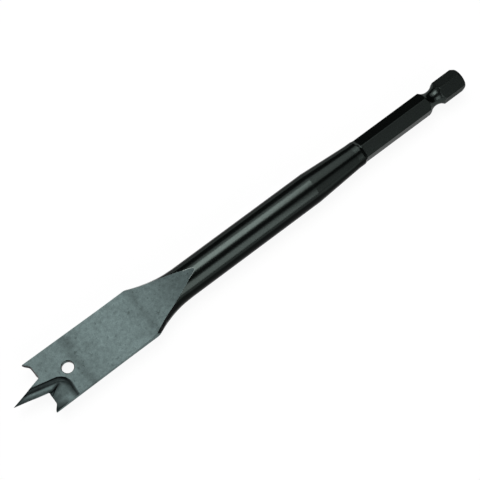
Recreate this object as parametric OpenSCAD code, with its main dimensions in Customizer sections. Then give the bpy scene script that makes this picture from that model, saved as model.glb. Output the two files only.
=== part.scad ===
// Spade drill bit for wood: a flat forged blade with a long centre point, two spurs and ground chip
// hollows, a flare and ramp that turn the blade into a round shaft, and a hex shank with a lock groove.
// Millimetres. The bit lies on z = 0 with its axis along X, the point at -X, the blade level.

/* [Overall] */
// Length from the point to the end of the shank
overall_length = 155; // [135:1:200]

/* [Blade] */
// Width across the two spurs
blade_width = 15.9; // [13:0.1:22]
// Thickness of the flat part of the blade
blade_thickness = 1.9; // [1.6:0.1:2.6]
// How much each long edge draws in from the spur to the shoulder
back_taper = 0.2; // [0:0.05:0.5]
// Distance from the point to where the flare becomes the plain shaft
flare_end = 55.5; // [50:0.5:70]
// Radius of the hollow flare seen from the front
flare_radius = 29.5; // [20:0.5:45]
// Radius that rounds the shoulder of the blade
shoulder_radius = 1.2; // [0.4:0.1:3]
// Draft of the forged flanks beside the ramp
flank_draft = 25; // [18:1:30]
// Radius of those flanks seen along their draft
flank_radius = 36; // [33:0.5:42]

/* [Ramp] */
// Distance from the point to where the ramp leaves the round shaft
ramp_end = 60; // [58:0.5:70]
// Slope of the ramp between the blade's face and the shaft
ramp_angle = 12; // [9:0.5:16]
// Radius of the hollow that blends the ramp into the blade's face
ramp_radius = 100; // [60:5:120]
// Length of the shallow run-out at the end of the ramp
run_out_length = 3; // [1.5:0.5:5]
// Slope of that run-out
run_out_angle = 4.5; // [3:0.5:7]

/* [Point and cutting edges] */
// Distance from the point to the two cutting edges
point_length = 9.55; // [8:0.05:14]
// Angle between the two sides of the centre point
point_angle = 27.6; // [22:0.2:34]
// How far each spur stands ahead of the cutting edge
spur_height = 1.4; // [0.6:0.1:2.2]
// Angle of the spur's inner side to the cutting edge
spur_angle = 40; // [30:1:55]
// Radius in the notch between the point and a cutting edge
notch_radius = 0.55; // [0.2:0.05:0.8]
// Radius between a cutting edge and its spur
spur_root_radius = 1.1; // [0.3:0.1:1.5]
// Clearance behind the cutting edges
edge_clearance = 12; // [8:1:18]
// Clearance behind the sides of the centre point
point_clearance = 6; // [2:1:9]
// Width of the bevel on the outer edge behind each spur
spur_bevel = 0.75; // [0.3:0.05:1]
// Length over which that bevel runs out
spur_bevel_length = 6; // [3:0.5:8]

/* [Ground hollows] */
// Distance from a cutting edge to the back wall of its hollow
hollow_length = 6.65; // [5:0.05:7]
// Depth of a hollow at the foot of its wall
hollow_depth = 0.6; // [0.3:0.05:0.65]
// Radius of the wheel's rim, which forms the wall
hollow_wall_radius = 1.5; // [0.8:0.05:1.8]
// Radius, seen from the front, of the turn at the foot of the wall
hollow_turn_radius = 3.1; // [2:0.1:3.5]
// Distance from the point's side to the foot of the wall that runs along it
hollow_side_width = 1.8; // [1.4:0.05:2.1]
// Slope of the floor, which rises outwards from the foot of the point's wall
hollow_floor_angle = 3; // [1:0.5:4]
// Height of the ridge left in each hollow, where it meets the cutting edge
ridge_height = 0.3; // [0.1:0.05:0.35]
// Half of the ridge's width, where it meets the cutting edge
ridge_half_width = 0.55; // [0.3:0.05:0.8]
// Distance of the ridge from the axis, where it meets the cutting edge
ridge_offset = 3.6; // [3:0.05:4.5]
// Length of the ridge
ridge_length = 3.75; // [2.5:0.05:4.2]
// Angle of the ridge to the bit's axis
ridge_angle = 24.5; // [15:0.5:32]

/* [Hole] */
// Diameter of the hole through the blade
hole_diameter = 3.4; // [2:0.1:5]
// Distance from the point to the hole
hole_distance = 17.5; // [17:0.1:30]
// Chamfer round the hole on both faces
hole_chamfer = 0.15; // [0.05:0.05:0.4]

/* [Shaft] */
// Diameter of the plain shaft
shaft_diameter = 9.5; // [8.5:0.1:11]
// Length of the cone between the shaft and the collar
cone_length = 15.3; // [8:0.1:25]
// Diameter of the collar ahead of the hex
collar_diameter = 7.5; // [7.4:0.05:8.2]
// Distance from the cone to where the hex is full
collar_length = 2.8; // [2:0.1:6]

/* [Hex shank] */
// Distance across the flats
hex_across_flats = 6.35; // [6:0.05:6.5]
// Length of the full hex, measured from the end
hex_length = 36.5; // [28:0.5:45]
// Diameter over the broken corners of the hex
hex_corner_diameter = 7.2; // [7:0.05:7.3]
// Slope at which the flats run out into the collar
hex_run_out_angle = 28; // [20:1:45]
// Smallest diameter of the lock groove
groove_diameter = 4.75; // [4:0.05:5.5]
// Radius of the groove's hollow
groove_radius = 3.8; // [2.5:0.1:5]
// Distance from the end to the middle of the groove
groove_distance = 10.3; // [8:0.1:14]
// How far the end chamfer goes in from the corners
end_chamfer = 0.6; // [0.2:0.05:1.2]
// Length of the end chamfer
end_chamfer_length = 1; // [0.4:0.1:2]

/* [Hidden] */
$fn = 96;

// Room that a cutting shape has beyond the metal it cuts
spare = 1;
// Reach of a cutting shape that has to leave the metal altogether
reach = 40;
// Steps in the small rounds at the roots of the point and the spurs
round_steps = 8;
// How far the straight walls of a hollow stand inside its turn, so that they cross instead of just touching
leg_inset = 0.03;
// Gap between the flank's cut and the round shaft, where they would otherwise just touch
flank_clearance = 0.03;

shaft_r = shaft_diameter / 2;
collar_r = collar_diameter / 2;
hex_r = hex_across_flats / 2;
hex_corner_r = hex_corner_diameter / 2;
half_width = blade_width / 2;
half_thick = blade_thickness / 2;

// Stations along the axis, from the point
hex_start = overall_length - hex_length;
cone_end = hex_start - collar_length;
cone_start = cone_end - cone_length;
groove_x = overall_length - groove_distance;
spur_x = point_length - spur_height;
hollow_back = point_length + hollow_length;

// The shoulder: a round that touches the long edge and the flare's circle
flare_centre = [shaft_r + flare_radius, flare_end];
shoulder_r = half_width - back_taper;
shoulder_centre_r = shoulder_r - shoulder_radius;
shoulder_rise = flare_centre[0] - shoulder_centre_r;
shoulder_run = sqrt(pow(flare_radius + shoulder_radius, 2) - pow(shoulder_rise, 2));
shoulder_centre = [shoulder_centre_r, flare_end - shoulder_run];
shoulder_share = flare_radius / (flare_radius + shoulder_radius);
shoulder_touch = flare_centre + (shoulder_centre - flare_centre) * shoulder_share;

// The ramp: from the run-out back to the hollow that touches the blade's face
run_out_x = ramp_end - run_out_length;
run_out_z = shaft_r - run_out_length * tan(run_out_angle);
ramp_foot = run_out_x - (run_out_z - half_thick) / tan(ramp_angle);
blend_length = ramp_radius * tan(ramp_angle / 2);
blend_start = ramp_foot - blend_length;
blend_end = [ramp_foot + blend_length * cos(ramp_angle), half_thick + blend_length * sin(ramp_angle)];

// The hex flats run out where their slope meets the collar
hex_run_out = (collar_r - hex_r) / tan(hex_run_out_angle);
// The corners are down to their own diameter a little before the flats are full
corner_lead = hex_run_out * 0.4;

// The clearances set the tip back from the corner of its leading side, so that corner lies ahead of it
point_half_angle = point_angle / 2;
tip_set_back = half_thick * (tan(edge_clearance) + tan(point_clearance) / tan(point_half_angle));
point_root = (point_length + tip_set_back) * tan(point_half_angle);

// The foot of the hollow's wall, along the side of the point and across the wing
side_line_offset = hollow_side_width / cos(point_half_angle);
wall_run = hollow_wall_radius * sin(acos(1 - hollow_depth / hollow_wall_radius));
hollow_foot_x = hollow_back - wall_run;
turn_x = hollow_foot_x - hollow_turn_radius;
turn_y = (turn_x + tip_set_back) * tan(point_half_angle) - side_line_offset
    + hollow_turn_radius / cos(point_half_angle);

// The ridge rises out of the floor towards the cutting edge
ridge_floor = hollow_depth
    - (ridge_offset - point_root + side_line_offset) * cos(point_half_angle) * tan(hollow_floor_angle);
ridge_slope = atan(ridge_height / ridge_length) + hollow_floor_angle * sin(point_half_angle + ridge_angle);

// Points along the round of radius r that replaces the corner p between points a and b
function unit(v) = v / norm(v);
function round_points(a, p, b, r) =
    let (
        u = unit(a - p),
        v = unit(b - p),
        half = acos(u * v) / 2,
        centre = p + unit(u + v) * r / sin(half),
        from = p + u * r / tan(half) - centre,
        sweep = (180 - 2 * half) * sign(u[1] * v[0] - u[0] * v[1]),
        start = atan2(from[1], from[0])
    )
    [for (i = [0 : round_steps]) centre + r * [cos(start + sweep * i / round_steps),
        sin(start + sweep * i / round_steps)]];

// Copies that are a half turn apart about the bit's axis
module both_wings() {
    for (turn = [0, 180]) rotate([turn, 0, 0]) children();
}

// Outline of the turned form, as radius against distance from the point
module turned_outline() {
    difference() {
        union() {
            polygon([
                [0, 0], [half_width, 0], [half_width, spur_x],
                [shoulder_r, shoulder_centre[1]], shoulder_touch,
                [shaft_r, flare_end], [shaft_r, cone_start],
                [collar_r, cone_end], [collar_r, hex_start - hex_run_out],
                [hex_corner_r, hex_start - corner_lead], [hex_corner_r, overall_length - end_chamfer_length],
                [hex_corner_r - end_chamfer, overall_length], [0, overall_length]
            ]);
            translate(shoulder_centre) circle(r = shoulder_radius);
        }
        translate(flare_centre) circle(r = flare_radius, $fn = 240);
        translate([groove_diameter / 2 + groove_radius, groove_x]) circle(r = groove_radius);
    }
}

module turned_form() {
    rotate([0, 90, 0]) rotate_extrude() turned_outline();
}

// Outline of the bit seen from its edge: the flat blade, the hollow ramp and its run-out
module edge_outline() {
    top = [
        [-spare, half_thick], [blend_start, half_thick], blend_end, [run_out_x, run_out_z],
        [ramp_end + spare, shaft_r + spare * tan(run_out_angle)],
        [ramp_end + spare, shaft_r + spare], [overall_length + spare, shaft_r + spare]
    ];
    bottom = [for (i = [len(top) - 1 : -1 : 0]) [top[i][0], -top[i][1]]];
    difference() {
        polygon(concat(top, bottom));
        for (side = [-1, 1])
            translate([blend_start, side * (half_thick + ramp_radius)]) circle(r = ramp_radius, $fn = 360);
    }
}

module flattened_form() {
    rotate([90, 0, 0]) linear_extrude(blade_width + 2 * spare, center = true) edge_outline();
}

// The opening in front of one wing, between the point and the spur. The clearance tilts the cut,
// so distances along the axis are shortened to come out true on the leading face.
module wing_gap() {
    tilt = cos(edge_clearance);
    tip = [-tip_set_back * tilt, 0];
    notch = [point_length * tilt, point_root];
    root = [point_length * tilt, half_width - spur_height / tan(spur_angle)];
    outside = root + [-tan(spur_angle) * tilt, 1] * (half_width + spare - root[1]);
    polygon(concat(
        [tip],
        round_points(tip, notch, root, notch_radius),
        round_points(notch, root, outside, spur_root_radius),
        [outside, [-reach / 2, outside[1]], [-reach / 2, 0]]
    ));
}

module wing_gap_cut() {
    translate([0, 0, half_thick])
        rotate([point_clearance, 0, 0]) mirror([0, 1, 0]) rotate([0, -edge_clearance, 0])
            linear_extrude(reach, center = true) wing_gap();
}

// Section across a ground hollow: the round wall on the left and the floor from its foot
module hollow_section() {
    translate([0, hollow_wall_radius]) circle(r = hollow_wall_radius);
    square([reach, reach / 2]);
}

// One hollow in the leading face: along the side of the point, round the turn and across the wing.
// The whole of it is tilted about the foot of the point's wall, so that it gets shallower outwards.
module hollow_cut() {
    along_point = [cos(point_half_angle), -sin(point_half_angle), 0];
    foot_y = turn_y - hollow_turn_radius / cos(point_half_angle);
    translate([turn_x, -foot_y, half_thick - hollow_depth])
        rotate(a = -hollow_floor_angle, v = along_point)
            translate([0, foot_y - turn_y, 0]) {
                rotate([0, 0, -point_half_angle])
                    translate([0, hollow_turn_radius - leg_inset, 0])
                        rotate([0, -90, 0]) rotate([0, 0, -90])
                            linear_extrude(reach) hollow_section();
                rotate_extrude() intersection() {
                    translate([hollow_turn_radius, 0]) mirror([1, 0]) hollow_section();
                    square([reach, reach / 2]);
                }
                translate([hollow_turn_radius - leg_inset, 0, 0]) rotate([90, 0, 0])
                    linear_extrude(reach) mirror([1, 0]) hollow_section();
            }
}

// The ridge between the two parts of a hollow
module ridge() {
    translate([point_length, -ridge_offset, half_thick - ridge_floor + ridge_height])
        rotate([0, 0, ridge_angle]) rotate([0, ridge_slope, 0])
            translate([-spare, 0, 0]) rotate([90, 0, 90]) linear_extrude(ridge_length + spare)
                polygon([[0, 0], [-3 * ridge_half_width, -3 * ridge_height],
                    [3 * ridge_half_width, -3 * ridge_height]]);
}

// Bevel on the outer edge behind a spur
module spur_bevel_cut() {
    translate([spur_x, -half_width + spur_bevel, half_thick])
        rotate([0, 0, -atan(spur_bevel / spur_bevel_length)]) rotate([45, 0, 0])
            translate([-spare, -reach / 2, 0]) cube([reach / 4, reach / 2, reach / 4]);
}

// Flank on one side of the ramp, drawn along its draft so that it leaves the round shaft untouched
module flank_cut() {
    rotate([flank_draft, 0, 0])
        translate([flare_end, -shaft_r - flank_clearance - flank_radius, 0])
            cylinder(r = flank_radius, h = blade_width, center = true, $fn = 240);
}

// One flat of the hex, with its run-out into the collar
module hex_flat_cut() {
    rotate([90, 0, 0]) linear_extrude(2 * collar_diameter, center = true)
        polygon([
            [hex_start - hex_run_out - spare, hex_r + (hex_run_out + spare) * tan(hex_run_out_angle)],
            [hex_start, hex_r], [overall_length + spare, hex_r],
            [overall_length + spare, hex_r + reach / 4], [hex_start - hex_run_out - spare, hex_r + reach / 4]
        ]);
}

module blade_hole() {
    translate([hole_distance, 0, 0]) {
        cylinder(d = hole_diameter, h = 2 * shaft_diameter, center = true);
        for (face = [0, 180])
            rotate([face, 0, 0]) translate([0, 0, half_thick - hole_chamfer])
                cylinder(r1 = hole_diameter / 2, r2 = hole_diameter / 2 + hole_chamfer + spare,
                    h = hole_chamfer + spare);
    }
}

module spade_bit() {
    color("#5f6b6a") translate([-overall_length / 2, 0, shaft_r])
        difference() {
            intersection() {
                turned_form();
                flattened_form();
            }
            both_wings() {
                wing_gap_cut();
                difference() {
                    hollow_cut();
                    ridge();
                }
                spur_bevel_cut();
                flank_cut();
                mirror([0, 1, 0]) flank_cut();
            }
            for (i = [0 : 5]) rotate([30 + 60 * i, 0, 0]) hex_flat_cut();
            blade_hole();
        }
}

spade_bit();
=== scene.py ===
import logging
import math
from dataclasses import dataclass, field
from enum import Enum

import bmesh
import bpy
from mathutils import Matrix, Vector

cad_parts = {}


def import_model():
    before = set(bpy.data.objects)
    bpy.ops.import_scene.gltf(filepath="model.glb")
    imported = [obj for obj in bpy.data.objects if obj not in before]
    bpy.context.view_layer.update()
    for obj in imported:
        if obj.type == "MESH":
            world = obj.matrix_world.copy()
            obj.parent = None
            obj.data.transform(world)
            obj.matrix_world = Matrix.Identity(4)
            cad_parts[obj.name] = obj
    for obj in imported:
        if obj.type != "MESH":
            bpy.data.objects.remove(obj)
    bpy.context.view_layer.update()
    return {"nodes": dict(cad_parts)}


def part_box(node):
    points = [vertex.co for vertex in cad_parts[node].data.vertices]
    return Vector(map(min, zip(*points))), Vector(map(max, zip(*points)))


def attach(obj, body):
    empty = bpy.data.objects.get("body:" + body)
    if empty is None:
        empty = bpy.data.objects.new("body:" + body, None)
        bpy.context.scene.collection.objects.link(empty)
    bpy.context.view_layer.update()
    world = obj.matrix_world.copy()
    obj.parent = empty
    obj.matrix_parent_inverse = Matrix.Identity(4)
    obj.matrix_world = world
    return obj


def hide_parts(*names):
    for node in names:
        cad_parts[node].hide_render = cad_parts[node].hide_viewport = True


LOG = logging.getLogger("spade_bit")
MM = 0.001
Triple = tuple[float, float, float]
Colour = Triple
Ramp = tuple[tuple[float, float], ...]


class Node(Enum):
    """Names of the CAD nodes."""

    BIT = "spade_bit"


class Slot(Enum):
    """Material slots of the record."""

    STEEL = "dark_steel"


class Body(Enum):
    """Rigid bodies of the part."""

    ROOT = "root"


class Zone(Enum):
    """Attributes that tell the zones of the bit apart."""

    FLAT = "flat_zone"
    HOLLOW = "hollow_zone"
    # Painted shade and painted reflection of the hollows, as a share of the blade's sheen.
    HOLLOW_SHADING = "painted_hollow_shading"
    RUN_OUT = "run_out_zone"
    # Edges rubbed bare of the black, partly lightened as a painted highlight.
    WEAR_AND_HIGHLIGHT = "worn_and_highlight_edge"
    # Painted shade on the flanks of the shaft and on the corners of the hex.
    FLANK_SHADE = "painted_flank_shade"


@dataclass(frozen=True)
class Stations:
    """Places on the bit, in metres, along it from its point and across it from its axis.

    Args:
        hollow_end: where the ground hollows have ended.
        ridge_tip: where the ridge between point and wing ends, along and across the blade.
        sharp_end: how far the ground edges stay sharp.
        hole: where the middle of the hole is.
        hole_reach: distance from there that the hole's chamfers stay within.
        face_height: height of the blade's face above the axis.
        half_width: distance from the axis that the blade stays within.
        bevel_start: where the bevels behind the spurs start, across the blade.
        blade_end: where the ramp's sharp sides start, at the shoulders.
        run_out_start: where the shallow end of the ramp starts.
        ramp_end: where the ramp runs out into the round shaft.
        shaft_start: where the flare becomes the plain shaft.
        cone_start: where the shaft starts to narrow.
        cone_end: where it becomes the collar.
        hex_start: where the collar starts to become the hex.
        shoulder_end: where the shoulder in front of the hex has ended.
        groove: where the lock groove is deepest.
        head: where the head of the shank starts, behind the groove.
        shaft_radius: radius of the plain shaft.
        collar_radius: radius of the collar.
    """

    hollow_end: float = 17.0 * MM
    ridge_tip: tuple[float, float] = (12.94 * MM, -2.05 * MM)
    sharp_end: float = 13.0 * MM
    hole: float = 17.5 * MM
    hole_reach: float = 2.2 * MM
    face_height: float = 0.95 * MM
    half_width: float = 8.0 * MM
    bevel_start: float = 7.0 * MM
    blade_end: float = 42.8 * MM
    run_out_start: float = 57.0 * MM
    ramp_end: float = 60.2 * MM
    shaft_start: float = 55.4 * MM
    cone_start: float = 100.4 * MM
    cone_end: float = 115.7 * MM
    hex_start: float = 118.5 * MM
    shoulder_end: float = 121.5 * MM
    groove: float = 144.7 * MM
    head: float = 148.5 * MM
    shaft_radius: float = 4.75 * MM
    collar_radius: float = 3.75 * MM


@dataclass(frozen=True)
class Leans:
    """Parts of a face's normal that tell the faces of the bit apart; upright ones are along Z.

    Args:
        steep: upright part below which a face is a side and no part of a hollow.
        foot: least upright part of a wall that stands on a floor.
        bevel: largest upright part of the bevel behind a spur.
        level: least upright part of the blade's faces and the ramps.
        floor: least upright part of a hollow's floor and the feet of its walls.
        true_floor: least upright part of the floor alone.
        run_out: range of the upright part of a ramp's shallow end.
        side: least part across the blade of the blade's own sides.
        ridge_across: least part across the blade of a ridge's side.
        ridge_along: least part along the bit of a ridge's end.
        turned: how well a facet has to agree with the turned surface that it is part of.
        corner: how far a face of the hex has to be turned towards one of its corners.
        shoulder: least part along the bit of the shoulder in front of the hex.
    """

    steep: float = 0.3
    foot: float = 0.5
    bevel: float = 0.8
    level: float = 0.93
    floor: float = 0.97
    true_floor: float = 0.993
    run_out: tuple[float, float] = (0.99, 0.9999)
    side: float = 0.9
    ridge_across: float = 0.3
    ridge_along: float = 0.2
    turned: float = 0.98
    corner: float = 0.7
    shoulder: float = 0.25


@dataclass(frozen=True)
class PaintedHollowShading:
    """Painted shade and painted reflection of a ground hollow, as a share of the blade's sheen; lengths are in
    millimetres.

    Args:
        point_wall: sheen of the wall along the point, by depth below the blade's face.
        arch_wall: the same, where the wall turns.
        wing_wall: the same, at the back of the wing.
        turn: how far the wall has turned, by place across the blade: 0 along the point, 1 in the arch, 2 on the wing.
        point_floor: sheen of the point's flank, by distance from the cutting edge.
        wing_floor: the same, on the wing.
        point_foot: factor of the floor's sheen by distance from the foot of the wall along the point.
        arch_foot: the same, where the wall turns.
        wing_foot: the same, at the back of the wing.
        outer: factor of the wing's sheen, by place across the blade.
        tip: factor of the point's sheen, by distance from its tip.
        crest: sheen along the crest of the ridge.
        crest_end: sheen where the ridge ends.
        valley: sheen along the feet of the ridge.
        crest_depth: depth below the blade's face that the crest stays within.
        ridge_end: length of the ridge's end.
        ridge_slope: how far the ridge runs across the blade, by its length.
        bevel: sheen of the bevel behind a spur.
    """

    point_wall: Ramp = (
        (0.0, 0.42), (0.13, 0.004), (0.28, 0.04), (0.40, 0.19), (0.49, 0.20), (0.56, 0.12), (0.60, 0.07)
    )
    arch_wall: Ramp = ((0.0, 0.03), (0.06, 0.005), (0.30, 0.01), (0.42, 0.06), (0.50, 0.16), (0.57, 0.34))
    wing_wall: Ramp = ((0.0, 0.70), (0.10, 0.40), (0.20, 0.24), (0.30, 0.13), (0.42, 0.08), (0.46, 0.10))
    turn: Ramp = ((-4.4, 2.0), (-1.8, 1.0), (-0.2, 0.0))
    point_floor: Ramp = ((0.0, 0.32), (0.3, 0.33), (0.55, 0.42), (0.85, 0.64), (1.1, 0.94), (1.8, 0.98))
    wing_floor: Ramp = ((0.0, 0.30), (1.0, 0.42), (2.2, 0.56), (3.2, 0.62))
    point_foot: Ramp = ((0.0, 0.08), (0.20, 0.08), (0.33, 0.15), (0.45, 0.45), (0.58, 0.86), (0.68, 1.0))
    arch_foot: Ramp = ((0.0, 0.12), (0.30, 0.20), (0.60, 0.55), (1.0, 0.90), (1.5, 1.0))
    wing_foot: Ramp = ((0.0, 0.25), (1.5, 1.0))
    outer: Ramp = ((-7.2, 1.5), (-5.6, 1.0))
    tip: Ramp = ((0.0, 0.4), (2.5, 0.58), (6.0, 1.0))
    crest: float = 0.26
    crest_end: float = 0.06
    valley: float = 0.02
    crest_depth: float = 0.25
    ridge_end: float = 0.1
    ridge_slope: float = 0.36
    bevel: float = 0.12

    @staticmethod
    def read(ramp: Ramp, place: float) -> float:
        """Reads a ramp.

        Args:
            ramp: its points.
            place: where to read it.

        Returns:
            The value, held beyond the ends.
        """
        if place <= ramp[0][0]:
            return ramp[0][1]
        for (first, low), (second, high) in zip(ramp, ramp[1:]):
            if place <= second:
                return low + (high - low) * (place - first) / (second - first)
        return ramp[-1][1]

    def mix(self, across: float, values: Triple) -> float:
        """Blends the values of the three walls.

        Args:
            across: place across the blade.
            values: values along the point, in the arch and on the wing.

        Returns:
            The value at that place.
        """
        return self.read(tuple(enumerate(values)), self.read(self.turn, across))

    def wall(self, across: float, depth: float) -> float:
        """Works out the painted shade of a wall.

        Args:
            across: place across the blade.
            depth: depth below the blade's face.

        Returns:
            The share of the blade's sheen.
        """
        ramps = (self.point_wall, self.arch_wall, self.wing_wall)
        return self.mix(across, tuple(self.read(ramp, depth) for ramp in ramps))

    def floor(self, across: float, on_point: bool, edge: float, foot: float) -> float:
        """Works out the painted shade and painted reflection of a floor.

        Args:
            across: place across the blade.
            on_point: whether it is the point's flank.
            edge: distance from the cutting edge.
            foot: distance from the foot of the wall.

        Returns:
            The share of the blade's sheen.
        """
        sheen = self.read(self.point_floor if on_point else self.wing_floor, edge)
        ramps = (self.point_foot, self.arch_foot, self.wing_foot)
        clear = self.mix(across, tuple(self.read(ramp, foot) for ramp in ramps))
        return sheen * clear * self.read(self.outer, across)


@dataclass(frozen=True)
class Turning:
    """A stretch of the bit that is turned, round its axis.

    Args:
        start: where it starts, in metres along X.
        end: where it ends.
        start_radius: its radius at the start.
        end_radius: its radius at the end.
        axis_z: height of the axis.
        slack: how far a point may lie off its surface.
    """

    start: float
    end: float
    start_radius: float
    end_radius: float
    axis_z: float
    slack: float = 0.02 * MM

    def holds(self, point: Vector) -> bool:
        """Tells whether a point lies on this stretch.

        Args:
            point: the point.

        Returns:
            True if it is on the surface.
        """
        share = (point.x - self.start) / (self.end - self.start)
        radius = self.start_radius + (self.end_radius - self.start_radius) * share
        off = abs(math.hypot(point.y, point.z - self.axis_z) - radius)
        return off < self.slack and -self.slack < point.x - self.start and point.x - self.end < self.slack

    def normal(self, point: Vector) -> Vector:
        """Returns the true normal of the surface.

        Args:
            point: a point on it.

        Returns:
            The unit normal.
        """
        out = Vector((0.0, point.y, point.z - self.axis_z)).normalized()
        out.x = (self.start_radius - self.end_radius) / (self.end - self.start)
        return out.normalized()


@dataclass(frozen=True)
class Band:
    """A band across the blade: partly dull marks left by the forging, partly painted shade along the blade, and
    painted light where its strength is below zero.

    Args:
        place: distance from the point.
        width: width of the band.
        strength: share of the sheen that is lost in it.
    """

    place: float
    width: float
    strength: float


@dataclass(frozen=True)
class SteelFinish:
    """Blackened steel with a greenish satin sheen.

    Args:
        shaft_tint: reflection of the shaft and the shank.
        flat_tint: reflection of the blade and the ramp.
        edge_tint: share of the reflection that stays near grazing angles.
        shaft_roughness: blur of the reflection on the shaft and the shank.
        head_roughness: blur of the reflection on the head of the shank, which is duller.
        head_share: share of the reflection that the head keeps.
        flat_roughness: blur of the reflection on the blade and the ramp.
        patch: share by which the blade's tint varies in soft patches.
        patch_size: size of the patches.
        cloud: share by which it varies in smaller clouds.
        cloud_size: size of the clouds.
        grain: share by which the tint varies in fine grain.
        grain_size: size of the grain.
        speck: share of the sheen that is lost in a speck.
        speck_size: size of the pattern that the specks come from.
        run_out: share of the sheen that is lost on the shallow end of the ramp.
        flank: share of the sheen that is lost on the flanks of the shaft and on the corners and shoulder of the hex,
            as painted shade.
        wear_and_highlight_tint: reflection of the edges rubbed bare of the black, lightened as a painted highlight.
        worn_roughness: blur of the reflection on these edges.
        waver: how far the bands waver along the bit.
        bands: the bands across the blade, dull forging marks and painted shade, and bright painted light where the
            strength is below zero.
    """

    shaft_tint: Colour = (0.032, 0.0395, 0.0367)
    flat_tint: Colour = (0.147, 0.195, 0.193)
    edge_tint: float = 0.6
    shaft_roughness: float = 0.20
    head_roughness: float = 0.46
    head_share: float = 0.78
    flat_roughness: float = 0.65
    patch: float = 0.10
    patch_size: float = 4.0 * MM
    cloud: float = 0.16
    cloud_size: float = 1.1 * MM
    grain: float = 0.16
    grain_size: float = 0.3 * MM
    speck: float = 0.30
    speck_size: float = 0.8 * MM
    run_out: float = 0.08
    flank: float = 0.87
    wear_and_highlight_tint: Colour = (0.20, 0.23, 0.22)
    worn_roughness: float = 0.55
    waver: float = 0.7 * MM
    bands: tuple[Band, ...] = (
        Band(20.6 * MM, 1.1 * MM, 0.24),
        Band(14.0 * MM, 2.6 * MM, 0.10),
        Band(42.6 * MM, 1.0 * MM, 0.22),
        Band(57.0 * MM, 7.0 * MM, 0.42),
        Band(31.0 * MM, 8.0 * MM, -0.08),
        Band(22.0 * MM, 3.5 * MM, 0.10),
        Band(41.0 * MM, 1.6 * MM, 0.06),
        Band(0.0 * MM, 5.0 * MM, 0.55),
    )


Value = bpy.types.NodeSocket | float


@dataclass
class Graph:
    """Short ways to add shader nodes to a tree.

    Args:
        tree: the node tree.
    """

    tree: bpy.types.NodeTree

    def put(self, target: bpy.types.NodeSocket, value: object) -> None:
        """Links or sets one input.

        Args:
            target: the input.
            value: a socket to link, or a constant.
        """
        if isinstance(value, bpy.types.NodeSocket):
            self.tree.links.new(value, target)
        else:
            target.default_value = value

    def add(self, kind: str, **inputs: object) -> bpy.types.Node:
        """Adds a node and fills its inputs.

        Args:
            kind: the node's type.
            inputs: values by input name, with underscores for spaces.

        Returns:
            The node.
        """
        node = self.tree.nodes.new(kind)
        for name, value in inputs.items():
            self.put(node.inputs[name.replace("_", " ")], value)
        return node

    def math(self, operation: str, *values: Value) -> bpy.types.NodeSocket:
        """Adds a math node.

        Args:
            operation: the operation's name.
            values: its operands.

        Returns:
            The result.
        """
        node = self.tree.nodes.new("ShaderNodeMath")
        node.operation = operation
        for target, value in zip(node.inputs, values):
            self.put(target, value)
        return node.outputs["Value"]

    def blend(self, factor: Value, first: object, second: object, mode: str = "MIX") -> bpy.types.NodeSocket:
        """Adds a colour mix.

        Args:
            factor: share of the second colour.
            first: the first colour.
            second: the second colour.
            mode: how they are blended.

        Returns:
            The mixed colour.
        """
        node = self.tree.nodes.new("ShaderNodeMix")
        node.data_type = "RGBA"
        node.blend_type = mode
        sockets = [item for item in node.inputs if item.enabled]
        for target, value in zip(sockets, (factor, first, second)):
            self.put(target, value)
        return next(item for item in node.outputs if item.enabled)

    def between(self, factor: Value, first: Value, second: Value) -> bpy.types.NodeSocket:
        """Adds a mix of two numbers.

        Args:
            factor: share of the second number.
            first: the first number.
            second: the second number.

        Returns:
            The mixed number.
        """
        node = self.tree.nodes.new("ShaderNodeMix")
        node.data_type = "FLOAT"
        sockets = [item for item in node.inputs if item.enabled]
        for target, value in zip(sockets, (factor, first, second)):
            self.put(target, value)
        return next(item for item in node.outputs if item.enabled)

    def zone(self, zone: Zone) -> bpy.types.NodeSocket:
        """Reads an attribute of the mesh.

        Args:
            zone: the zone.

        Returns:
            How far a place is in the zone, from 0 to 1.
        """
        node = self.tree.nodes.new("ShaderNodeAttribute")
        node.attribute_name = zone.value
        return node.outputs["Fac"]


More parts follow.
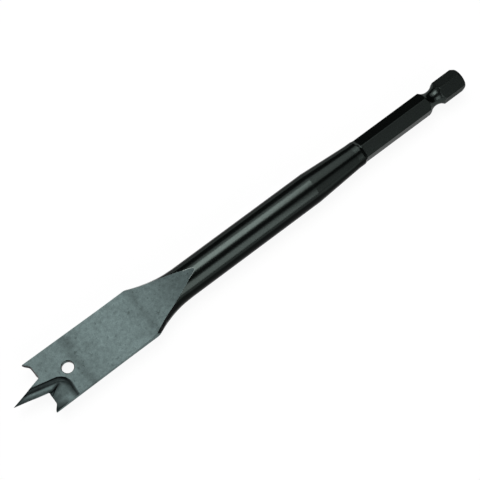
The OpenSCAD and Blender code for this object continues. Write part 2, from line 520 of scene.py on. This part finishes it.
@dataclass
class Patterns:
    """Makes the node groups that the material shares."""

    def group(self, name: str, inputs: dict[str, str]) -> tuple[Graph, bpy.types.Node, bpy.types.Node]:
        """Makes an empty group with one Value output.

        Args:
            name: the group's name.
            inputs: socket types by input name.

        Returns:
            The group's graph, its entry and its exit.
        """
        tree = bpy.data.node_groups.new(name, "ShaderNodeTree")
        for title, kind in inputs.items():
            tree.interface.new_socket(title, in_out="INPUT", socket_type=kind)
        tree.interface.new_socket("Value", in_out="OUTPUT", socket_type="NodeSocketFloat")
        return Graph(tree), tree.nodes.new("NodeGroupInput"), tree.nodes.new("NodeGroupOutput")

    def mottle(self) -> bpy.types.NodeTree:
        """Makes the group that turns a position into a soft patchy value.

        Returns:
            The group; its value goes from -1 to 1.
        """
        graph, entry, leave = self.group(
            "soft_mottle", {"Vector": "NodeSocketVector", "Scale": "NodeSocketFloat"}
        )
        noise = graph.add(
            "ShaderNodeTexNoise",
            Vector=entry.outputs["Vector"], Scale=entry.outputs["Scale"], Detail=3.0, Roughness=0.6,
        )
        spread = graph.add(
            "ShaderNodeMapRange",
            Value=noise.outputs["Fac"], From_Min=0.3, From_Max=0.7, To_Min=-1.0, To_Max=1.0,
        )
        graph.put(leave.inputs["Value"], spread.outputs["Result"])
        return graph.tree

    def specks(self) -> bpy.types.NodeTree:
        """Makes the group that scatters small specks.

        Returns:
            The group; its value is 1 in a speck and 0 elsewhere.
        """
        graph, entry, leave = self.group(
            "scattered_specks", {"Vector": "NodeSocketVector", "Scale": "NodeSocketFloat"}
        )
        noise = graph.add(
            "ShaderNodeTexNoise",
            Vector=entry.outputs["Vector"], Scale=entry.outputs["Scale"], Detail=1.5, Distortion=0.6,
        )
        spread = graph.add("ShaderNodeMapRange", Value=noise.outputs["Fac"], From_Min=0.63, From_Max=0.72)
        graph.put(leave.inputs["Value"], spread.outputs["Result"])
        return graph.tree

    def band(self) -> bpy.types.NodeTree:
        """Makes the group that draws one soft band at a place along the bit.

        Returns:
            The group; its value is 1 in the middle of the band and 0 away from it.
        """
        graph, entry, leave = self.group(
            "mark_and_shade_band",
            {"Distance": "NodeSocketFloat", "Place": "NodeSocketFloat", "Width": "NodeSocketFloat"},
        )
        off = graph.math("SUBTRACT", entry.outputs["Distance"], entry.outputs["Place"])
        ratio = graph.math("DIVIDE", off, entry.outputs["Width"])
        square = graph.math("MULTIPLY", ratio, ratio)
        graph.put(leave.inputs["Value"], graph.math("POWER", 2.0, graph.math("MULTIPLY", square, -1.0)))
        return graph.tree


@dataclass
class SteelMaterial:
    """Builds the material of the bit.

    Args:
        point_x: where the bit's point lies along X.
        stations: places along the bit.
        finish: the values of the finish.
        patterns: the shared node groups.
    """

    point_x: float
    stations: Stations = field(default_factory=Stations)
    finish: SteelFinish = field(default_factory=SteelFinish)
    patterns: Patterns = field(default_factory=Patterns)

    def build(self) -> bpy.types.Material:
        """Makes the material.

        Returns:
            The finished material.
        """
        material = bpy.data.materials.new("blackened_steel")
        material.use_nodes = True
        graph = Graph(material.node_tree)
        finish = self.finish
        shader = material.node_tree.nodes["Principled BSDF"]
        place = graph.add("ShaderNodeTexCoord").outputs["Object"]
        mottle, specks, band = self.patterns.mottle(), self.patterns.specks(), self.patterns.band()
        flat = graph.zone(Zone.FLAT)

        def layer(group: bpy.types.NodeTree, size: float) -> bpy.types.NodeSocket:
            """Adds one layer of a pattern.

            Args:
                group: the pattern's node group.
                size: size of its features.

            Returns:
                The layer's value.
            """
            node = material.node_tree.nodes.new("ShaderNodeGroup")
            node.node_tree = group
            graph.put(node.inputs["Scale"], 1.0 / size)
            graph.put(node.inputs["Vector"], place)
            return node.outputs["Value"]

        patches, clouds = layer(mottle, finish.patch_size), layer(mottle, finish.cloud_size)
        grain = layer(mottle, finish.grain_size)
        along = graph.add("ShaderNodeSeparateXYZ", Vector=place).outputs["X"]
        waver = graph.math("MULTIPLY_ADD", patches, finish.waver, -self.point_x)
        distance = graph.math("ADD", along, waver)
        loss = graph.math("MULTIPLY", layer(specks, finish.speck_size), finish.speck)
        # Bands along the blade: forging marks and painted shade, and painted light where a strength is below zero.
        for item in finish.bands:
            node = material.node_tree.nodes.new("ShaderNodeGroup")
            node.node_tree = band
            graph.put(node.inputs["Distance"], distance)
            graph.put(node.inputs["Place"], item.place)
            graph.put(node.inputs["Width"], item.width)
            loss = graph.math("MULTIPLY_ADD", node.outputs["Value"], item.strength, loss)
        loss = graph.math("MULTIPLY_ADD", graph.zone(Zone.RUN_OUT), finish.run_out, loss)
        # The hollows take painted shade and painted reflection from their own attribute instead.
        sheen = graph.between(graph.zone(Zone.HOLLOW), graph.math("SUBTRACT", 1.0, loss), graph.zone(Zone.HOLLOW_SHADING))
        vary = graph.math("MULTIPLY_ADD", patches, finish.patch, 1.0)
        vary = graph.math("MULTIPLY_ADD", clouds, finish.cloud, vary)
        head = graph.add(
            "ShaderNodeMapRange",
            Value=distance, From_Min=self.stations.groove, From_Max=self.stations.head,
        ).outputs["Result"]
        # Painted shade on the flanks of the shaft and on the corners and shoulder of the hex.
        shaft = graph.math("MULTIPLY_ADD", graph.zone(Zone.FLANK_SHADE), -finish.flank, 1.0)
        shaft = graph.math("MULTIPLY", shaft, graph.between(head, 1.0, finish.head_share))
        tone = graph.between(flat, shaft, graph.math("MULTIPLY", sheen, vary))
        tone = graph.math("MULTIPLY", tone, graph.math("MULTIPLY_ADD", grain, finish.grain, 1.0))
        tint = graph.blend(flat, (*finish.shaft_tint, 1.0), (*finish.flat_tint, 1.0))
        colour = graph.blend(1.0, tint, tone, "MULTIPLY")
        # Edges rubbed bare of the black, lightened as a painted highlight.
        colour = graph.blend(graph.zone(Zone.WEAR_AND_HIGHLIGHT), colour, (*finish.wear_and_highlight_tint, 1.0))
        graph.put(shader.inputs["Base Color"], colour)
        rough = graph.between(head, finish.shaft_roughness, finish.head_roughness)
        rough = graph.between(flat, rough, finish.flat_roughness)
        rough = graph.between(graph.zone(Zone.WEAR_AND_HIGHLIGHT), rough, finish.worn_roughness)
        graph.put(shader.inputs["Roughness"], rough)
        graph.put(shader.inputs["Metallic"], 1.0)
        graph.put(shader.inputs["Specular Tint"], (finish.edge_tint,) * 3 + (1.0,))
        return material


@dataclass
class Bit:
    """The dressed bit: the CAD solid with welded facets and broken edges.

    Args:
        node: the CAD object.
        material: the finish of the steel.
        stations: places along the bit.
        leans: how the faces of the bit lean.
        hollow_shading: painted shade and painted reflection of the hollows.
        weld: distance within which facet corners are joined.
        slack: how far below the blade's face a hollow starts.
        flat_angle: facets closer than this to one plane are joined.
        crease_angle: edges sharper than this are broken.
        edge_width: width of a broken edge.
        edge_steps: facets across a broken edge.
        smooth_angle: faces closer than this share their shading.
        floor_step: distance between the cuts that divide the hollows' floors.
        ground_lean: share of their own lean that a hollow's walls keep in the shading.
        flank_lean: how much painted shade a face gets as a flank of the shaft, by the upright part of its normal, on
            the sides of the hollows.
        back_lean: the same, on the other sides.
        corner_length: shortest length of a corner of the hex.
        hex_corner: how much painted shade a corner of the hex gets, and the shoulder in front of it.
        worn_width: width of the bright line round the end of a ramp, and along its sides.
        wear_and_highlight_end: how strongly that line is rubbed bare and lightened as a painted highlight at the end
            of a ramp.
    """

    node: bpy.types.Object
    material: bpy.types.Material
    stations: Stations = field(default_factory=Stations)
    leans: Leans = field(default_factory=Leans)
    hollow_shading: PaintedHollowShading = field(default_factory=PaintedHollowShading)
    weld: float = 0.002 * MM
    slack: float = 0.01 * MM
    flat_angle: float = math.radians(0.2)
    crease_angle: float = math.radians(24)
    edge_width: float = 0.11 * MM
    edge_steps: int = 2
    smooth_angle: float = math.radians(50)
    floor_step: float = 0.25 * MM
    ground_lean: float = 0.08
    flank_lean: Ramp = ((0.54, 1.0), (0.64, 0.0))
    back_lean: Ramp = ((0.68, 1.0), (0.80, 0.0))
    corner_length: float = 2.0 * MM
    hex_corner: float = 0.6
    worn_width: float = 0.16 * MM
    wear_and_highlight_end: float = 1.0

    def turnings(self, point_x: float, axis_z: float) -> tuple[Turning, ...]:
        """Lists the turned stretches.

        Args:
            point_x: where the point lies along X.
            axis_z: height of the bit's axis.

        Returns:
            The shaft, the cone and the collar.
        """
        at = self.stations
        return (
            Turning(point_x + at.shaft_start, point_x + at.cone_start, at.shaft_radius, at.shaft_radius, axis_z),
            Turning(point_x + at.cone_start, point_x + at.cone_end, at.shaft_radius, at.collar_radius, axis_z),
            Turning(point_x + at.cone_end, point_x + at.hex_start, at.collar_radius, at.collar_radius, axis_z),
        )

    def mark_zones(self, shape: bmesh.types.BMesh, point_x: float, axis_z: float) -> None:
        """Marks the faces of the blade, and the painted shade and painted reflection of its hollows.

        Args:
            shape: the bit's mesh.
            point_x: where the point lies along X.
            axis_z: height of the bit's axis.
        """
        at, leans = self.stations, self.leans

        def sunk(face: bmesh.types.BMFace) -> bool:
            """Tells whether a face is part of a hollow.

            Args:
                face: the face.

            Returns:
                True for a floor, a wall or a ridge.
            """
            middle = face.calc_center_median()
            deep = abs(middle.z - axis_z) < at.face_height - self.slack
            clear = math.hypot(middle.x - point_x - at.hole, middle.y) > at.hole_reach
            return middle.x - point_x < at.hollow_end and deep and clear and abs(face.normal.z) > leans.steep

        floors = [face for face in shape.faces if sunk(face) and abs(face.normal.z) > leans.floor]
        cuts = (
            (Vector((1.0, 0.0, 0.0)), point_x, point_x + at.hollow_end),
            (Vector((0.0, 1.0, 0.0)), -at.half_width, at.half_width),
        )
        for normal, first, last in cuts:
            for step in range(1, round((last - first) / self.floor_step)):
                geom = {item for face in floors for item in (face, *face.edges, *face.verts)}
                cut = bmesh.ops.bisect_plane(
                    shape, geom=list(geom), dist=self.weld / 2,
                    plane_co=normal * (first + step * self.floor_step), plane_no=normal,
                )
                floors = [item for item in cut["geom"] if isinstance(item, bmesh.types.BMFace)]
        flat = shape.faces.layers.float.new(Zone.FLAT.value)
        hollow = shape.faces.layers.float.new(Zone.HOLLOW.value)
        for face in shape.faces:
            along = face.calc_center_median().x - point_x
            face[hollow] = float(sunk(face))
            level = abs(face.normal.z) > leans.level and along < at.ramp_end
            side = abs(face.normal.y) > leans.side and along < at.blade_end
            face[flat] = max(face[hollow], float(level or side))
        for side in (1.0, -1.0):
            self.mark_hollow(shape, point_x, axis_z, side)
        self.mark_run_out(shape, point_x, axis_z)

    def mark_hollow(self, shape: bmesh.types.BMesh, point_x: float, axis_z: float, side: float) -> None:
        """Marks the painted shade and painted reflection of one hollow.

        Args:
            shape: the bit's mesh.
            point_x: where the point lies along X.
            axis_z: height of the bit's axis.
            side: 1 for the hollow in the upper face and -1 for the one in the lower face.
        """
        at, hollow_shading, lean = self.stations, self.hollow_shading, self.leans
        hollow = shape.faces.layers.float[Zone.HOLLOW.value]
        layers = shape.loops.layers.float
        sheen = layers.get(Zone.HOLLOW_SHADING.value) or layers.new(Zone.HOLLOW_SHADING.value)
        faces = [
            face for face in shape.faces
            if face[hollow] and (face.calc_center_median().z - axis_z) * side > 0
        ]
        cutting: list[tuple[Vector, Vector]] = []
        feet: list[tuple[Vector, Vector]] = []
        for face in faces:
            for edge in face.edges:
                ends = (edge.verts[0].co.copy(), edge.verts[1].co.copy())
                upright = [abs(other.normal.z) for other in edge.link_faces]
                own = abs(face.normal.z)
                if own > lean.true_floor and min(upright) < lean.steep and abs(ends[0].y) < at.bevel_start:
                    cutting.append(ends)
                if lean.foot < own < lean.true_floor < max(upright) and face.normal.x < 0:
                    feet.append(ends)
        for face in faces:
            own = abs(face.normal.z)
            beside = face.normal.y * side > lean.ridge_across or face.normal.x > lean.ridge_along
            ridge = own < lean.floor and beside
            for loop in face.loops:
                spot = loop.vert.co
                along, across = spot.x - point_x, spot.y * side
                depth = at.face_height - (spot.z - axis_z) * side
                if ridge:
                    tone = hollow_shading.crest if depth < hollow_shading.crest_depth * MM else hollow_shading.valley
                    tone = hollow_shading.crest_end if along > at.ridge_tip[0] - hollow_shading.ridge_end * MM else tone
                elif own > lean.true_floor:
                    sideways = hollow_shading.ridge_slope * max(0.0, at.ridge_tip[0] - along)
                    tone = hollow_shading.floor(
                        across / MM, across > at.ridge_tip[1] - sideways,
                        min(self.gap(spot, *ends) for ends in cutting) / MM,
                        min(self.gap(spot, *ends) for ends in feet) / MM,
                    ) * hollow_shading.read(hollow_shading.tip, along / MM)
                elif abs(face.calc_center_median().y) > at.bevel_start and own < lean.bevel:
                    tone = hollow_shading.bevel
                else:
                    tone = hollow_shading.wall(across / MM, depth / MM) * hollow_shading.read(hollow_shading.tip, along / MM)
                # Painted shade and painted reflection, one value for each corner.
                loop[sheen] = tone
        LOG.info("hollow: %d faces, %d cutting edges, %d at its foot", len(faces), len(cutting), len(feet))

    def mark_run_out(self, shape: bmesh.types.BMesh, point_x: float, axis_z: float) -> None:
        """Marks the shallow end of each ramp and the bright line round it, rubbed bare and lightened as a painted
        highlight.

        Args:
            shape: the bit's mesh.
            point_x: where the point lies along X.
            axis_z: height of the bit's axis.
        """
        at = self.stations
        least, most = self.leans.run_out
        run_out = shape.faces.layers.float.new(Zone.RUN_OUT.value)
        wear_and_highlight = shape.faces.layers.float.new(Zone.WEAR_AND_HIGHLIGHT.value)
        ends = [
            face for face in shape.faces
            if at.run_out_start < face.calc_center_median().x - point_x < at.ramp_end
            and least < abs(face.normal.z) < most
        ]
        for face in ends:
            face[run_out] = 1.0
        ring = bmesh.ops.inset_region(
            shape, faces=ends, thickness=self.worn_width, use_even_offset=True, use_boundary=True
        )
        for face in ring["faces"]:
            middle = face.calc_center_median()
            upper = middle.y * (middle.z - axis_z) > 0
            beyond = middle.x - point_x > at.run_out_start + 2 * self.worn_width
            # Rubbed edge with a painted highlight, at full strength on the upper sides and half on the others.
            face[wear_and_highlight] = float(beyond) * (self.wear_and_highlight_end if upper else self.wear_and_highlight_end / 2)
            face[run_out] = 0.0
        LOG.info("run-out: %d faces, %d round it", len(ends), len(ring["faces"]))

    @staticmethod
    def gap(point: Vector, first: Vector, second: Vector) -> float:
        """Measures the distance from a point to an edge.

        Args:
            point: the point.
            first: one end of the edge.
            second: the other end.

        Returns:
            The shortest distance.
        """
        line = second - first
        share = (point - first).dot(line) / max(line.length_squared, 1e-18)
        return (first + line * min(1.0, max(0.0, share)) - point).length

    def corner_normals(self, mesh: bpy.types.Mesh, turnings: tuple[Turning, ...]) -> list[Vector]:
        """Works out the shading normals: true ones on turned faces, and elsewhere those of the larger faces.

        Args:
            mesh: the bit's mesh.
            turnings: the turned stretches.

        Returns:
            One normal for each corner of each face.
        """
        points = [vert.co for vert in mesh.vertices]
        around: list[list[bpy.types.MeshPolygon]] = [[] for _ in points]
        turned: dict[int, Turning] = {}
        for face in mesh.polygons:
            for index in face.vertices:
                around[index].append(face)
            for turning in turnings:
                middle = turning.normal(face.center)
                agrees = middle.dot(face.normal) > self.leans.turned
                if agrees and all(turning.holds(points[index]) for index in face.vertices):
                    turned[face.index] = turning
        hollow = mesh.attributes[Zone.HOLLOW.value].data
        wear_and_highlight = mesh.attributes[Zone.WEAR_AND_HIGHLIGHT.value].data
        normals: list[Vector] = []
        limit = math.cos(self.smooth_angle)
        run_out = turnings[0].start + self.stations.run_out_start - self.stations.shaft_start
        for face in mesh.polygons:
            for index in face.vertices:
                if face.index in turned:
                    normals.append(turned[face.index].normal(points[index]))
                    continue
                # Hollows are shaded nearly level; their shade is painted into their colour.
                if hollow[face.index].value:
                    level = Vector((0.0, 0.0, math.copysign(1.0, face.normal.z)))
                    normals.append(level.lerp(face.normal, self.ground_lean).normalized())
                    continue
                shallow = face.center.x > run_out and abs(face.normal.z) > self.leans.run_out[0]
                if wear_and_highlight[face.index].value or shallow:
                    normals.append(face.normal)
                    continue
                total = Vector()
                for other in around[index]:
                    if other.normal.dot(face.normal) > limit:
                        turning = turned.get(other.index)
                        total += (turning.normal(points[index]) if turning else other.normal) * other.area
                normals.append(total.normalized())
        return normals

    def mark_flanks(self, mesh: bpy.types.Mesh, normals: list[Vector], point_x: float) -> None:
        """Marks painted shade on the flanks of the shaft and on the corners of the hex.

        Args:
            mesh: the bit's mesh.
            normals: the shading normals.
            point_x: where the point lies along X.
        """
        at, lean = self.stations, self.leans
        flanks = mesh.attributes.new(Zone.FLANK_SHADE.value, "FLOAT", "CORNER").data
        for face in mesh.polygons:
            along = face.center.x - point_x
            places = [mesh.vertices[index].co.x for index in face.vertices]
            turn = abs(math.cos(3 * math.atan2(face.normal.y, face.normal.z)))
            hex_edge = turn > lean.corner and max(places) - min(places) > self.corner_length
            shoulder = face.normal.x > lean.shoulder and along < at.shoulder_end
            for corner in face.loop_indices:
                normal = normals[corner]
                if along < at.hex_start:
                    ramp = self.flank_lean if normal.y * normal.z < 0 else self.back_lean
                    flanks[corner].value = PaintedHollowShading.read(ramp, abs(normal.z))
                elif hex_edge or shoulder:
                    flanks[corner].value = self.hex_corner

    def break_edges(self, shape: bmesh.types.BMesh, point_x: float) -> None:
        """Breaks the sharp edges, more so along the ramps, where the black is rubbed off them and a painted highlight
        lightens them.

        Args:
            shape: the bit's mesh.
            point_x: where the point lies along X.
        """
        at = self.stations
        hollow = shape.faces.layers.float[Zone.HOLLOW.value]
        wear_and_highlight = shape.faces.layers.float[Zone.WEAR_AND_HIGHLIGHT.value]
        ramp: list[bmesh.types.BMEdge] = []
        other: list[bmesh.types.BMEdge] = []
        for edge in shape.edges:
            if len(edge.link_faces) != 2 or edge.calc_face_angle() < self.crease_angle:
                continue
            ends = [vert.co.x - point_x for vert in edge.verts]
            ground = any(face[hollow] for face in edge.link_faces)
            if ground or not at.sharp_end < sum(ends) / 2 < at.cone_end - self.edge_width:
                continue
            level = max(abs(face.normal.z) for face in edge.link_faces) > self.leans.level
            beside = level and min(ends) > at.blade_end and max(ends) < at.run_out_start
            (ramp if beside else other).append(edge)
        lines = bmesh.ops.bevel(
            shape, geom=ramp, offset=self.worn_width, offset_type="OFFSET", affect="EDGES",
            segments=1, profile=0.5, material=-1, clamp_overlap=True,
        )
        # Ramp-side edges, rubbed bare and lightened as a painted highlight.
        for face in lines["faces"]:
            face[wear_and_highlight] = 1.0
        bmesh.ops.bevel(
            shape, geom=[edge for edge in other if edge.is_valid], offset=self.edge_width, offset_type="OFFSET",
            affect="EDGES", segments=self.edge_steps, profile=0.5, material=-1, clamp_overlap=True,
        )
        LOG.info("edges broken: %d beside the ramps, %d others", len(ramp), len(other))

    def build(self) -> bpy.types.Object:
        """Makes the piece that stands for the CAD node.

        Returns:
            The new object.
        """
        low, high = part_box(Node.BIT.value)
        axis_z = (low.z + high.z) / 2
        mesh = self.node.data.copy()
        shape = bmesh.new()
        shape.from_mesh(mesh)
        bmesh.ops.remove_doubles(shape, verts=shape.verts, dist=self.weld)
        bmesh.ops.dissolve_limit(
            shape, angle_limit=self.flat_angle, verts=shape.verts, edges=shape.edges
        )
        self.mark_zones(shape, low.x, axis_z)
        self.break_edges(shape, low.x)
        for face in shape.faces:
            face.smooth = True
        shape.to_mesh(mesh)
        shape.free()
        normals = self.corner_normals(mesh, self.turnings(low.x, axis_z))
        mesh.normals_split_custom_set(normals)
        self.mark_flanks(mesh, normals, low.x)
        mesh.materials.clear()
        mesh.materials.append(self.material)
        piece = bpy.data.objects.new("forged_bit", mesh)
        bpy.context.scene.collection.objects.link(piece)
        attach(piece, Body.ROOT.value)
        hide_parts(Node.BIT.value)
        LOG.info("forged_bit: %d faces", len(mesh.polygons))
        return piece


@dataclass(frozen=True)
class View:
    """The camera's place relative to the bit.

    Args:
        roll: turn of the blade's face away from the camera, about the bit's axis.
        pitch: how far the point leans towards the camera.
        distance: distance from the camera to the aim.
        aim: place along the bit, from its point, that the camera is aimed at.
        aside: how far beside the bit's axis the aim lies.
        slant: angle of the bit's axis above the picture's horizontal.
        focal: focal length in picture widths.
    """

    roll: float = math.radians(16)
    pitch: float = math.radians(12)
    distance: float = 384 * MM
    aim: float = 75.64 * MM
    aside: float = 0.08 * MM
    slant: float = math.radians(36.53)
    focal: float = 1401 / 480

    def along(self) -> Vector:
        """Works out the picture's direction along the bit, in the frame.

        Returns:
            The unit direction.
        """
        return Vector((
            math.cos(self.pitch),
            -math.sin(self.pitch) * math.sin(self.roll),
            math.sin(self.pitch) * math.cos(self.roll),
        ))

    def across(self) -> Vector:
        """Works out the picture's direction across the bit, in the frame.

        Returns:
            The unit direction.
        """
        return Vector((0, -math.cos(self.roll), -math.sin(self.roll)))

    def towards(self) -> Vector:
        """Works out the direction from the bit to the camera, in the frame.

        Returns:
            The unit direction.
        """
        return self.across().cross(self.along())


@dataclass(frozen=True)
class Softbox:
    """A lamp, placed relative to the camera's view of the bit.

    Args:
        name: the lamp's name.
        side: angle off the view towards the picture's lower right.
        lean: angle off the view towards the shank.
        length: its size along the bit.
        width: its size across the bit.
        radiance: its brightness.
        reach: its distance from the bit.
    """

    name: str
    side: float
    lean: float
    length: float
    width: float
    radiance: float
    reach: float = 0.6


SOFTBOXES = (
    Softbox(
        "key", side=math.radians(-34), lean=math.radians(12), length=0.38, width=0.335, radiance=4.6
    ),
    Softbox(
        "key_rim", side=math.radians(-41), lean=math.radians(20), length=0.74, width=0.66, radiance=1.06, reach=0.66
    ),
    Softbox(
        "fill", side=math.radians(46), lean=math.radians(12), length=0.38, width=0.40, radiance=2.0
    ),
    Softbox(
        "fill_rim", side=math.radians(51), lean=math.radians(20), length=0.74, width=0.72, radiance=0.43, reach=0.66
    ),
)


@dataclass
class Studio:
    """Floor, lamps, world and camera.

    Args:
        view: the camera's place.
        low: lowest corner of the bit.
        high: highest corner of the bit.
        glow: brightness of the floor by itself.
        albedo: share of the lamps' light that the floor adds, and loses in a shadow.
        haze: brightness of the world.
        floor_reach: half the width of the floor.
    """

    view: View
    low: Vector
    high: Vector
    glow: float = 0.92
    albedo: float = 0.10
    haze: float = 0.05
    floor_reach: float = 1.5

    def aim(self) -> Vector:
        """Works out the point that the camera is aimed at.

        Returns:
            The point, in the frame.
        """
        middle = (self.low + self.high) / 2
        return Vector((self.low.x + self.view.aim, middle.y + self.view.aside, middle.z))

    def camera(self) -> None:
        """Adds the camera and makes it the scene's."""
        data = bpy.data.cameras.new("camera")
        data.sensor_width = 36.0
        data.lens = self.view.focal * data.sensor_width
        data.clip_start = 0.01
        camera = bpy.data.objects.new("camera", data)
        along, across = self.view.along(), self.view.across()
        cos, sin = math.cos(self.view.slant), math.sin(self.view.slant)
        right = along * cos + across * sin
        up = along * sin - across * cos
        back = self.view.towards()
        turn = Matrix((right, up, back)).transposed().to_4x4()
        camera.matrix_world = Matrix.Translation(self.aim() + back * self.view.distance) @ turn
        bpy.context.scene.collection.objects.link(camera)
        bpy.context.scene.camera = camera

    def lamp(self, box: Softbox) -> None:
        """Adds one softbox.

        Args:
            box: its place, size and brightness.
        """
        back, along, across = self.view.towards(), self.view.along(), self.view.across()
        facing = (back + across * math.tan(box.side) + along * math.tan(box.lean)).normalized()
        data = bpy.data.lights.new(box.name, "AREA")
        data.shape = "RECTANGLE"
        data.size, data.size_y = box.length, box.width
        data.energy = box.radiance * math.pi * box.length * box.width
        lamp = bpy.data.objects.new(box.name, data)
        first = (along - facing * along.dot(facing)).normalized()
        turn = Matrix((first, facing.cross(first), facing)).transposed().to_4x4()
        lamp.matrix_world = Matrix.Translation(self.aim() + facing * box.reach) @ turn
        bpy.context.scene.collection.objects.link(lamp)

    def world(self) -> None:
        """Sets a dim, even world."""
        world = bpy.data.worlds.new("world")
        world.use_nodes = True
        background = world.node_tree.nodes["Background"]
        background.inputs["Color"].default_value = (1, 1, 1, 1)
        background.inputs["Strength"].default_value = self.haze
        bpy.context.scene.world = world

    def floor(self) -> None:
        """Adds the plain white floor that the bit lies on."""
        mesh = bpy.data.meshes.new("floor")
        shape = bmesh.new()
        bmesh.ops.create_grid(shape, x_segments=1, y_segments=1, size=self.floor_reach)
        shape.to_mesh(mesh)
        shape.free()
        material = bpy.data.materials.new("white_floor")
        material.use_nodes = True
        shader = material.node_tree.nodes["Principled BSDF"]
        shader.inputs["Base Color"].default_value = (self.albedo,) * 3 + (1,)
        shader.inputs["Roughness"].default_value = 1.0
        shader.inputs["Specular IOR Level"].default_value = 0.0
        shader.inputs["Emission Color"].default_value = (1, 1, 1, 1)
        shader.inputs["Emission Strength"].default_value = self.glow
        mesh.materials.append(material)
        floor = bpy.data.objects.new("floor", mesh)
        bpy.context.scene.collection.objects.link(floor)

    def build(self) -> None:
        """Builds the whole studio."""
        self.camera()
        for box in SOFTBOXES:
            self.lamp(box)
        self.world()
        self.floor()
        bpy.context.scene.view_settings.view_transform = "Standard"


def main() -> None:
    """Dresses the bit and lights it."""
    logging.basicConfig(level=logging.INFO, format="%(name)s: %(message)s")
    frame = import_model()
    low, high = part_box(Node.BIT.value)
    steel = SteelMaterial(low.x).build()
    Bit(frame["nodes"][Node.BIT.value], steel).build()
    Studio(View(), low, high).build()


if __name__ == "__main__":
    main()
